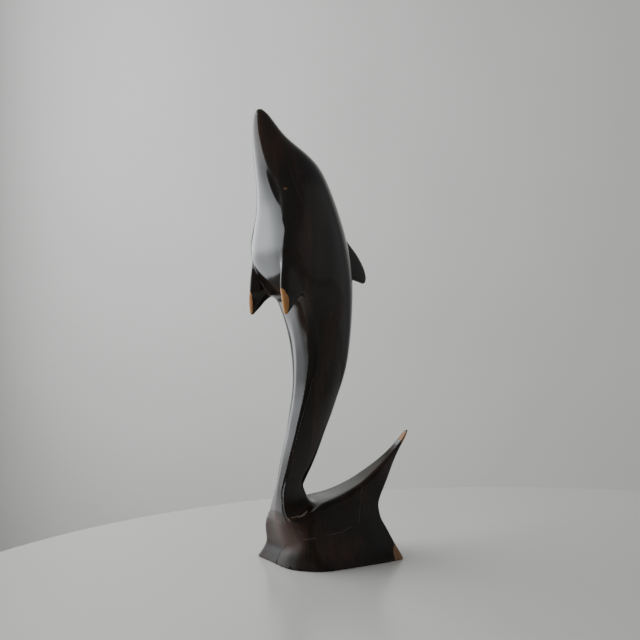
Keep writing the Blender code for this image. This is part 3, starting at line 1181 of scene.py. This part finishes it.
@dataclass(frozen=True)
class Sapwood:
    """A place where the cut runs out of the dark heart into the pale sapwood.

    Attributes:
        centre: Middle of the pale part, s, l and z.
        size: Its reach each way, as the half axes of an egg-shaped border.
        pale: Its colour.
        border: Half width of its border, in millimetres.
        deeper: Shares of its colour that are left in its darker lines.
    """

    centre: Row
    size: Row
    pale: Row
    border: float = 0.2
    deeper: Row = (0.70, 0.60, 0.50)

    def mask(self, place: Sequence[Socket], ragged: Socket) -> Socket:
        """Where it is, with a sharp, slightly ragged border.

        Args:
            place: The point's s, l and z.
            ragged: A small noise that moves the border.

        Returns:
            1 in the pale part and 0 in the heart.
        """
        shortest = min(self.size)
        far = apart(place, self.centre, self.size) ** 0.5 + ragged * (1 / shortest)
        return far.ramp(1.0 + self.border / shortest, 1.0 - self.border / shortest)

    def colour(self, nodes: Nodes, grain: Socket) -> bpy.types.NodeSocket:
        """Its colour, darker along the grain's lines."""
        return nodes.blend(grain, self.pale, tuple(a * b for a, b in zip(self.pale, self.deeper)))


@dataclass(frozen=True)
class Tint:
    """A soft brown or reddish cloud in the dark heartwood.

    Attributes:
        centre: Its middle, s, l and z.
        size: Its reach each way.
        strength: How much it tints the wood in its middle.
    """

    centre: Row
    size: Row
    strength: float

    def mask(self, place: Sequence[Socket]) -> Socket:
        """Strength at the centre, falling smoothly to nought at the cloud's rim."""
        return apart(place, self.centre, self.size).ramp(1.0, 0.0) * self.strength


FACING_FRONT: Row = (0.12, 1.0, 1.0)
FACING_SIDE: Row = (1.0, 0.12, 1.0)
DARK_CRACK: Row = (0.002, 0.0016, 0.0012)


@dataclass(frozen=True)
class MarkOrHighlight:
    """A crack, a chip or a thin line in the wood, or a painted highlight: a light line that stands in for a
    reflection.

    Attributes:
        path: Points along it, s, l and z; one point makes a spot.
        width: Its half width.
        colour: Its colour.
        strength: How much of the colour shows.
        depth: How deep it is, in millimetres; nought for a mere line of colour.
        weights: How much a distance along s, l and z counts: little in the direction
            that the surface faces.
        core: Share of the half width that has the full strength.
    """

    path: Tuple[Row, ...]
    width: float
    colour: Row
    strength: float
    depth: float = 0.0
    weights: Row = FACING_SIDE
    core: float = 0.35

    def mask(self, place: Sequence[Socket], wander: Socket) -> Socket:
        """Strength along the path: 1 within the width of its nearest stretch, 0 beyond.

        The nearest point of a stretch from a to b is a plus t times its run, t being the
        projection on the run, held between 0 and 1.

        Args:
            place: The point's s, l and z.
            wander: A small noise that makes the line crooked.

        Returns:
            The mask.
        """
        path = [[part * weight for part, weight in zip(point, self.weights)] for point in self.path]
        place = [value * weight for value, weight in zip(place, self.weights)]
        if len(path) == 1:
            nearest = apart(place, path[0], (1.0, 1.0, 1.0)) ** 0.5
        else:
            stretches = [self.distance(place, *ends) for ends in zip(path, path[1:])]
            nearest = stretches[0]
            for stretch in stretches[1:]:
                nearest = nearest.least(stretch)
        return (nearest + wander).ramp(self.width, self.width * self.core) * self.strength

    def distance(self, place: Sequence[Socket], first: Sequence[float], last: Sequence[float]) -> Socket:
        """Distance from one stretch of the path.

        Args:
            place: The point's weighted s, l and z.
            first: Where the stretch starts, weighted too.
            last: Where it ends.

        Returns:
            The distance.
        """
        run = [b - a for a, b in zip(first, last)]
        square = sum(part * part for part in run)
        start = -sum(a * part for a, part in zip(first, run)) / square
        along = sum((value * (part / square) for value, part in zip(place, run)), start)
        along = along.most(0.0).least(1.0)
        parts = [value - along * part - a for value, part, a in zip(place, run, first)]
        return sum((part * part for part in parts), 0.0) ** 0.5


@dataclass(frozen=True)
class Ironwood:
    """Oiled and polished heartwood, near black with brown figure and pale sapwood tips.

    Attributes:
        black: Colour of the darkest heart.
        brown: Colour of its brown streaks.
        red: Colour of its reddish streaks.
        dusty: Colour of the worn, dry front of the block.
        sapwood: The pale tips and corners.
        tints: The brown clouds.
        marks_and_highlights: Cracks, chips and lines in the wood, and painted highlights on the block.
        rings: Middle of the growth rings along s and l, and how fast they follow each other.
        crooked: How much the rings sway, broadly and finely.
        gloss: Roughness of the polish, and how much the streaks, the sapwood, the dry
            front and the cracks add to it.
        depth: Share of the surface's light that the wood itself mirrors, as its index of
            refraction, and the roughness of the oil's coat.
    """

    black: Row = (0.0085, 0.0060, 0.0042)
    brown: Row = (0.030, 0.0165, 0.0098)
    red: Row = (0.042, 0.0150, 0.0090)
    dusty: Row = (0.062, 0.036, 0.029)
    sapwood: Tuple[Sapwood, ...] = (
        Sapwood((-38.2, -24.0, 175.2), (5.6, 12.0, 10.6), (0.50, 0.26, 0.105)),
        Sapwood((-39.5, 24.0, 170.0), (5.0, 12.0, 17.0), (0.46, 0.25, 0.115)),
        Sapwood((79.8, 0.0, 75.5), (7.2, 14.0, 8.5), (0.30, 0.165, 0.08)),
        Sapwood((58.0, -30.0, 1.0), (10.0, 14.0, 12.0), (0.30, 0.17, 0.095)),
    )
    tints: Tuple[Tint, ...] = (
        Tint((-36.0, -4.0, 288.0), (18.0, 18.0, 34.0), 0.9),
        Tint((-22.0, -24.0, 216.0), (10.0, 14.0, 40.0), 0.6),
        Tint((2.0, -12.0, 158.0), (9.0, 12.0, 34.0), 0.55),
        Tint((-24.0, -10.0, 22.0), (17.0, 18.0, 15.0), 1.3),
        Tint((6.0, -26.0, 14.0), (26.0, 16.0, 12.0), 0.6),
        Tint((56.0, -8.0, 58.0), (14.0, 12.0, 18.0), 0.5),
    )
    marks_and_highlights: Tuple[MarkOrHighlight, ...] = (
        MarkOrHighlight(((-28.0, -0.8, 32.0), (-25.8, -3.3, 22.5), (-23.8, -5.3, 16.1)),
             0.5, (0.20, 0.115, 0.095), 0.6, 0.15, FACING_FRONT),
        MarkOrHighlight(((-23.6, -5.4, 15.0), (-24.6, 2.0, 8.1), (-26.4, 2.9, 3.2)),
             0.4, DARK_CRACK, 0.8, 0.4, FACING_FRONT),
        MarkOrHighlight(((-26.9, 2.9, 2.6), (-26.9, 2.6, 0.6)), 0.9, DARK_CRACK, 1.0, 0.6, FACING_FRONT),
        MarkOrHighlight(((-25.2, -13.7, 1.2),), 1.6, DARK_CRACK, 1.0, 0.8, FACING_FRONT),
        MarkOrHighlight(((-22.6, -20.3, 1.0),), 1.4, DARK_CRACK, 0.9, 0.6, FACING_FRONT),
        MarkOrHighlight(((34.0, -12.4, 50.0), (30.5, -16.0, 42.0), (24.5, -19.8, 27.0)),
             0.45, (0.10, 0.085, 0.075), 0.5, 0.1),
        # Painted highlights: light lines along the near side of the block where the flare begins, standing in
        # for the window's reflection on that fold.
        MarkOrHighlight(((-18.9, -22.0, 20.9), (-12.0, -22.0, 21.4)), 0.8, (0.14, 0.12, 0.10), 0.25),
        MarkOrHighlight(((-2.5, -22.0, 22.1), (8.4, -22.0, 22.8)), 0.4, (0.15, 0.13, 0.11), 0.33),
        MarkOrHighlight(((8.4, -22.0, 22.8), (17.1, -22.0, 25.1)), 0.5, (0.12, 0.085, 0.065), 0.35),
        # Painted highlight: a pale grey line along the near top rim of the block beside the tail stock,
        # standing in for the reflection on that rounded edge.
        MarkOrHighlight(((-26.4, -16.0, 34.1), (-18.1, -16.0, 35.2), (-12.6, -16.0, 37.6)),
             0.4, (0.20, 0.18, 0.165), 0.45),
        MarkOrHighlight(((-31.3, -19.5, 250.6),), 1.1, (0.13, 0.055, 0.02), 0.8, 0.2),
        MarkOrHighlight(((-28.6, -17.8, 266.0), (-25.8, -22.2, 253.0), (-21.8, -25.2, 240.0)),
             0.5, (0.06, 0.045, 0.036), 0.4, 0.05),
    )
    rings: Row = (22.0, 8.0, 0.30)
    crooked: Row = (9.0, 1.6)
    gloss: Row = (0.14, 0.07, 0.25, 0.16, 0.6)
    depth: Row = (1.28, 0.06)

    def figure(self, nodes: Nodes, point: bpy.types.NodeSocket, place: Sequence[Socket]) -> Socket:
        """Growth rings: a sine of the distance from their middle, swayed by noise.

        Args:
            nodes: The material's nodes.
            point: The point in millimetres.
            place: Its s, l and z.

        Returns:
            The rings, from 0 to 1.
        """
        middle_s, middle_l, pace = self.rings
        off_s, off_l = place[0] - middle_s, place[1] - middle_l
        ring = (off_s * off_s + off_l * off_l) ** 0.5 * pace
        for share, grain in zip(self.crooked, (SWAY, WAVER)):
            ring = ring + (grain.read(nodes, point) - 0.5) * share
        return ring.sine() * 0.5 + 0.5

    def heart(self, nodes: Nodes, point: bpy.types.NodeSocket, place: Sequence[Socket],
              broad: Socket, streak: Socket) -> bpy.types.NodeSocket:
        """Colour of the heartwood: black, and warm along its streaks and in its clouds.

        Args:
            nodes: The material's nodes.
            point: The point in millimetres.
            place: Its s, l and z.
            broad: Broad noise.
            streak: Streaky noise.

        Returns:
            The colour.
        """
        figure = self.figure(nodes, point, place)
        warm = (broad * 0.8 + streak * 0.45 + figure * 0.25).ramp(0.66, 1.05)
        cloud = sum((tint.mask(place) for tint in self.tints), 0.0)
        warm = (warm * 0.75 + cloud * (0.35 + streak * 0.9 + figure * 0.2)).least(1.0)
        redness = REDNESS.read(nodes, point).ramp(0.45, 0.65)
        return nodes.blend(warm, self.black, nodes.blend(redness, self.brown, self.red))

    def worn(self, place: Sequence[Socket], broad: Socket) -> Socket:
        """Where the front of the block is worn dry: low down and towards the belly, cloudy.

        Args:
            place: The point's s, l and z.
            broad: Broad noise.

        Returns:
            1 on the worn front, 0 elsewhere.
        """
        s, _, z = place
        return (broad * 14.0 - z + 29.0).ramp(0.0, 14.0) * (s * -1 + broad * 6.0 - 3.0).ramp(13.0, 23.0)

    def handled(self, place: Sequence[Socket]) -> Socket:
        """How much of its polish the wood keeps: less on the tail's flanks and low down.

        Args:
            place: The point's s, l and z.

        Returns:
            The share of the polish.
        """
        s, l, z = place
        flank = (l * l).ramp(30.0, 80.0) * (1 - z.ramp(150.0, 205.0))
        flank = flank * (1 - s.ramp(5.0, 20.0) * z.ramp(105.0, 140.0))
        return (1 - flank * 0.75) * (0.70 + z.ramp(78.0, 115.0) * 0.30)

    def make(self) -> bpy.types.Material:
        """The wood's material: heart, figure, sapwood, gloss and the knife's grain.

        Returns:
            The material.
        """
        nodes = Nodes.of_material("ironwood")
        point, *place = nodes.place()
        broad, streak, hair = (grain.read(nodes, point) for grain in (BROAD, STREAK, HAIR))
        front = self.worn(place, broad)
        colour = self.heart(nodes, point, place, broad, streak)
        colour = nodes.blend(front * place[2].ramp(9.0, 18.0) * (0.25 + streak * 0.7), colour, self.dusty)
        colour = nodes.blend(hair.ramp(0.56, 0.72) * 0.55, colour, self.black)
        ragged = (RAGGED.read(nodes, point) - 0.5) * 1.2
        lines = (streak * 0.7 + hair * 0.5).ramp(0.42, 0.82)
        pale: Number = 0.0
        for sapwood in self.sapwood:
            mask = sapwood.mask(place, ragged)
            colour = nodes.blend(mask, colour, sapwood.colour(nodes, lines))
            pale = mask.most(pale)
        wander = (WANDER.read(nodes, point) - 0.5) * 0.9
        deep: Number = 0.0
        dull: Number = 0.0
        # Cracks, chips and lines in the wood, and painted highlights on the block, are mixed into the colour.
        for mark_or_highlight in self.marks_and_highlights:
            mask = mark_or_highlight.mask(place, wander)
            colour = nodes.blend(mask, colour, mark_or_highlight.colour)
            if mark_or_highlight.depth:
                deep, dull = mask * mark_or_highlight.depth + deep, mask + dull
        shader = nodes.shader
        nodes.feed(shader, "Base Color", colour)
        rough = sum(a * b for a, b in zip((streak, pale, front, dull), self.gloss[1:])) + self.gloss[0]
        nodes.feed(shader, "Roughness", rough)
        shader.inputs["IOR"].default_value, shader.inputs["Coat Roughness"].default_value = self.depth
        polish = (1 - front) * (0.4 + broad * 0.25) * (1 - pale) * self.handled(place) * (1 - dull)
        nodes.feed(shader, "Coat Weight", polish)
        height = streak * 0.5 + hair * 0.35 - deep * 6.0
        bump = nodes.add("ShaderNodeBump", None, {"Strength": 0.10, "Distance": 0.0003, "Height": height})
        nodes.feed(shader, "Normal", bump.outputs[0])
        return nodes.material


@dataclass(frozen=True)
class Paint:
    """A plain matt or satin finish of the stage.

    Attributes:
        name: Its name.
        colour: Its colour.
        rough: Its roughness.
        darker: Share of its colour that is left in its faintly darker clouds.
    """

    name: str
    colour: Row
    rough: float
    darker: float = 0.97

    def make(self) -> bpy.types.Material:
        """The finish with a faint unevenness, so that it isn't dead flat.

        Returns:
            The material.
        """
        nodes = Nodes.of_material(self.name)
        cloud = MOTTLE.read(nodes, nodes.place()[0]).ramp(0.3, 0.7)
        darker = tuple(value * self.darker for value in self.colour)
        nodes.feed(nodes.shader, "Base Color", nodes.blend(cloud, self.colour, darker))
        nodes.shader.inputs["Roughness"].default_value = self.rough
        return nodes.material


# The piece.


@dataclass
class Dolphin:
    """The carving as one piece.

    Attributes:
        step: Distance between the points of its skin.
        low: Lowest corner of the space that the skin is looked for in.
        high: Its highest corner.
        rounds: How often the skin is smoothed and settled again.
        name: The piece's name.
    """

    step: float = 0.86
    low: Row = (-47.5, -34.5, -1.3)
    high: Row = (83.0, 34.5, 306.5)
    rounds: int = 3
    name: str = "dolphin_carving"

    def skin(self) -> Tuple[Array, Array, Array]:
        """Pulls the skin and settles it on the forms.

        Returns:
            Its points, their normals and its quads.
        """
        carving = Carving()
        points, quads = pull_skin(carving.rough, self.low, self.high, self.step)
        for _ in range(self.rounds):
            points = carving.settle(relaxed(points, quads, 0.6), 1)
        points = carving.settle(points, 2)
        lean = carving.slope(points, 0.3)
        return points, lean / np.linalg.norm(lean, axis=1)[:, None], quads

    def build(self) -> bpy.types.Object:
        """Makes the skin's mesh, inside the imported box, and dresses it in ironwood.

        Returns:
            The finished piece, its place in its mesh.
        """
        points, normals, quads = self.skin()
        low, high = (np.array(corner) / MM for corner in CAD_BOX)
        points[:, 0] -= CENTRE_S
        points = np.clip(points, low, high)
        mesh = bpy.data.meshes.new(self.name)
        mesh.from_pydata((points * MM).tolist(), [], quads.tolist())
        mesh.update()
        mesh.shade_smooth()
        mesh.normals_split_custom_set_from_vertices(normals.tolist())
        piece = bpy.data.objects.new(self.name, mesh)
        bpy.context.scene.collection.objects.link(piece)
        mesh.materials.append(Ironwood().make())
        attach(piece, "root")
        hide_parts("dolphin")
        LOG.info("%s: %d vertices, %d faces", self.name, len(points), len(quads))
        return piece


# Camera, lights and stage.


@dataclass(frozen=True)
class Sight:
    """The photograph's view: level, from the belly's side and a little to the near side.

    Attributes:
        place: Where the camera stands, in metres.
        turn: How far it looks to the right of straight ahead, in degrees.
        lens: Its focal length, in millimetres.
        sensor: Its sensor's width.
        reach: Nearest and farthest distances that it sees.
    """

    place: Row = (-0.34265, -0.5516, 0.1649)
    turn: float = 31.0
    lens: float = 52.5
    sensor: float = 36.0
    reach: Row = (0.01, 50.0)

    def ahead(self, distance: float, aside: float, height: float) -> Vector:
        """A point placed from the camera.

        Args:
            distance: How far ahead of it.
            aside: How far to its right.
            height: Height above the table.

        Returns:
            The point.
        """
        turn = math.radians(self.turn)
        forward, right = (math.sin(turn), math.cos(turn)), (math.cos(turn), -math.sin(turn))
        x, y = (at + distance * a + aside * b for at, a, b in zip(self.place, forward, right))
        return Vector((x, y, height))

    def make(self) -> bpy.types.Object:
        """Adds the camera and makes it the scene's.

        Returns:
            The camera.
        """
        data = bpy.data.cameras.new("sight")
        data.lens, data.sensor_width = self.lens, self.sensor
        data.clip_start, data.clip_end = self.reach
        camera = bpy.data.objects.new("sight", data)
        camera.location = self.place
        camera.rotation_euler = (math.pi / 2, 0.0, -math.radians(self.turn))
        bpy.context.scene.collection.objects.link(camera)
        bpy.context.scene.camera = camera
        return camera


@dataclass(frozen=True)
class Softbox:
    """A large flat light that fades towards its edges.

    Attributes:
        name: Its name.
        place: How far its middle is ahead of the camera, to its right, and how high.
        bearing: Direction that its back is turned to, in degrees left of the camera's.
        width: Its width.
        tall: Its height from edge to edge.
        radiance: Brightness of its middle.
        soft: Share of its width and height over which it fades.
        tone: Its colour.
        low: Brightness of its lowest part as a share of the middle's.
        high: Brightness of its highest part, likewise.
        low_ends: Shares of its height between which the lowest part gives way.
        high_starts: Shares of its height between which the highest part begins.
    """

    name: str
    place: Row
    bearing: float
    width: float
    tall: float
    radiance: float
    soft: float
    tone: Row
    low: float = 1.0
    high: float = 1.0
    low_ends: Row = (0.21, 0.33)
    high_starts: Row = (0.45, 0.75)

    def glow(self, nodes: Nodes) -> Socket:
        """Brightness over the light: parabolas both ways make it fade, steps set its parts.

        Args:
            nodes: The light's nodes.

        Returns:
            The brightness.
        """
        geometry = nodes.add("ShaderNodeNewGeometry").outputs["Parametric"]
        parts = nodes.add("ShaderNodeSeparateXYZ", None, {0: geometry})
        across, up = (Socket(nodes, parts.outputs[axis]) for axis in (0, 1))
        fade = (across * (1 - across) * 4).ramp(0.0, self.soft) * (up * (1 - up) * 4).ramp(0.0, self.soft)
        lower = self.low + (1 - self.low) * up.ramp(*self.low_ends)
        return fade * lower * (1 - (1 - self.high) * up.ramp(*self.high_starts))

    def make(self, sight: Sight) -> bpy.types.Object:
        """Adds the light.

        Args:
            sight: The camera's place and direction.

        Returns:
            The light.
        """
        data = bpy.data.lights.new(self.name, "AREA")
        data.shape, data.size, data.size_y = "RECTANGLE", self.width, self.tall
        data.energy = self.radiance * math.pi * self.width * self.tall
        data.color = self.tone
        data.use_nodes = True
        nodes = Nodes(data.node_tree)
        nodes.feed(data.node_tree.nodes["Emission"], "Strength", self.glow(nodes))
        light = bpy.data.objects.new(self.name, data)
        light.location = sight.ahead(*self.place)
        turn = math.radians(sight.turn - self.bearing)
        facing = Vector((-math.sin(turn), -math.cos(turn), 0.0))
        light.rotation_euler = facing.to_track_quat("-Z", "Y").to_euler()
        bpy.context.scene.collection.objects.link(light)
        LOG.info("%s: light", self.name)
        return light


@dataclass(frozen=True)
class Table:
    """The round pale table top.

    Attributes:
        place: How far its axis is ahead of the camera and to its right.
        radius: Its radius.
        thick: Its thickness.
        edge: Radius of its rounded upper edge.
        bevel: Size of its lower edge's bevel.
        hole: Radius at which the closing discs begin, in its middle.
        count: Number of points round it.
        finish: Its finish.
    """

    place: Tuple[float, float] = (0.478, 0.176)
    radius: float = 0.449
    thick: float = 0.026
    edge: float = 0.006
    bevel: float = 0.004
    hole: float = 0.05
    count: int = 192
    finish: Paint = Paint("white table", (0.675, 0.655, 0.61), 0.24)

    def outline(self) -> Array:
        """Radius and height from the middle over the rounded edge and back underneath.

        Returns:
            The outline's points, shape (n, 2).
        """
        bend = np.linspace(0, np.pi / 2, 9)
        over = np.column_stack([self.radius - self.edge + self.edge * np.sin(bend),
                                self.edge * np.cos(bend) - self.edge])
        under = [(self.radius, self.bevel - self.thick), (self.radius - self.bevel, -self.thick),
                 (self.hole, -self.thick)]
        return np.vstack([[(self.hole, 0.0)], over, under])

    def make(self, sight: Sight) -> bpy.types.Object:
        """Carries the outline round the upright axis; radius and height give each ring.

        Args:
            sight: The camera's place, from which the axis is placed.

        Returns:
            The table top, marked as stage.
        """
        rim, centre = self.outline(), sight.ahead(*self.place, 0.0)
        turn = np.linspace(0, 2 * np.pi, self.count, endpoint=False)
        rings = np.stack([np.outer(rim[:, 0], np.cos(turn)) + centre.x,
                          np.outer(rim[:, 0], np.sin(turn)) + centre.y,
                          np.repeat(rim[:, 1:], self.count, axis=1)], axis=-1)
        grid = np.arange(len(rim) * self.count).reshape(len(rim), self.count)
        after = np.roll(grid, -1, axis=1)
        quads = np.stack([grid[:-1], grid[1:], after[1:], after[:-1]], -1).reshape(-1, 4).tolist()
        discs = [grid[-1].tolist(), grid[0][::-1].tolist()]
        made = staged("table", rings.reshape(-1, 3), quads + discs, self.finish)
        made.data.polygons.foreach_set("use_smooth", [True] * len(quads) + [False] * len(discs))
        return made


def staged(name: str, points: Array, faces: List[List[int]], finish: Paint) -> bpy.types.Object:
    """Puts points and faces into a smooth object that belongs to the stage.

    Args:
        name: Its name.
        points: Its points.
        faces: Its faces, as numbers of points.
        finish: Its finish.

    Returns:
        The object.
    """
    mesh = bpy.data.meshes.new(name)
    mesh.from_pydata(np.asarray(points).tolist(), [], faces)
    mesh.update()
    mesh.shade_smooth()
    mesh.materials.append(finish.make())
    made = bpy.data.objects.new(name, mesh)
    bpy.context.scene.collection.objects.link(made)
    made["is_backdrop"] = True
    LOG.info("%s: stage", name)
    return made


@dataclass(frozen=True)
class Studio:
    """Round pale table, pale wall and floor, and soft light from a side window.

    Attributes:
        sight: The camera's place, from which the table, the wall and the lights are placed.
        ground: Height of the floor below the table top.
        wall: How far the wall is ahead of the camera, and where it ends to both sides.
        wall_top: Height of its upper edge.
        floor_half: Half the floor's width.
        lights: The window and the dim room.
        dim: Brightness of the rest of the room.
        dim_tone: Its colour.
    """

    sight: Sight
    ground: float = -0.75
    wall: Row = (2.3, -3.0, 1.5)
    wall_top: float = 2.6
    floor_half: float = 4.0
    lights: Tuple[Softbox, ...] = (
        Softbox("window", (0.942, -1.037, 0.62), 84.0, 2.134, 1.83, 4.5, 0.12, (0.91, 0.96, 1.0), 0.50, 0.96),
        Softbox("room", (0.35, 1.75, 0.40), -100.0, 3.4, 2.6, 0.21, 1.0, (1.0, 0.99, 0.97)),
    )
    dim: float = 0.22
    dim_tone: Row = (0.95, 0.97, 1.0, 1.0)

    def build(self) -> None:
        """Adds table, wall, floor, lights and the dim room light."""
        Table().make(self.sight)
        distance, left, right = self.wall
        ends = [self.sight.ahead(distance, aside, 0.0) for aside in (left, right)]
        wall = [(end.x, end.y, height) for height in (self.ground, self.wall_top) for end in ends]
        staged("wall", wall, [[0, 1, 3, 2]], Paint("pale wall", (0.89, 0.88, 0.82), 0.8))
        corners = ((-1, -1), (1, -1), (1, 1), (-1, 1))
        floor = [(x * self.floor_half, y * self.floor_half, self.ground) for x, y in corners]
        staged("floor", floor, [[0, 1, 2, 3]], Paint("pale floor", (0.55, 0.54, 0.51), 0.6))
        for light in self.lights:
            light.make(self.sight)
        world = bpy.data.worlds.new("room")
        world.use_nodes = True
        background = world.node_tree.nodes["Background"].inputs
        background[0].default_value, background[1].default_value = self.dim_tone, self.dim
        bpy.context.scene.world = world


def main() -> None:
    """Builds the carving, the studio and the camera."""
    logging.basicConfig(level=logging.INFO, format="%(name)s %(message)s")
    sight = Sight()
    sight.make()
    Dolphin().build()
    Studio(sight).build()
    boxes = {"cad": CAD_BOX, "visual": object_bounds()}
    {name: [list(corner) for corner in box] for name, box in boxes.items()}
    LOG.info("boxes %s", boxes)


if __name__ == "__main__":
    main()
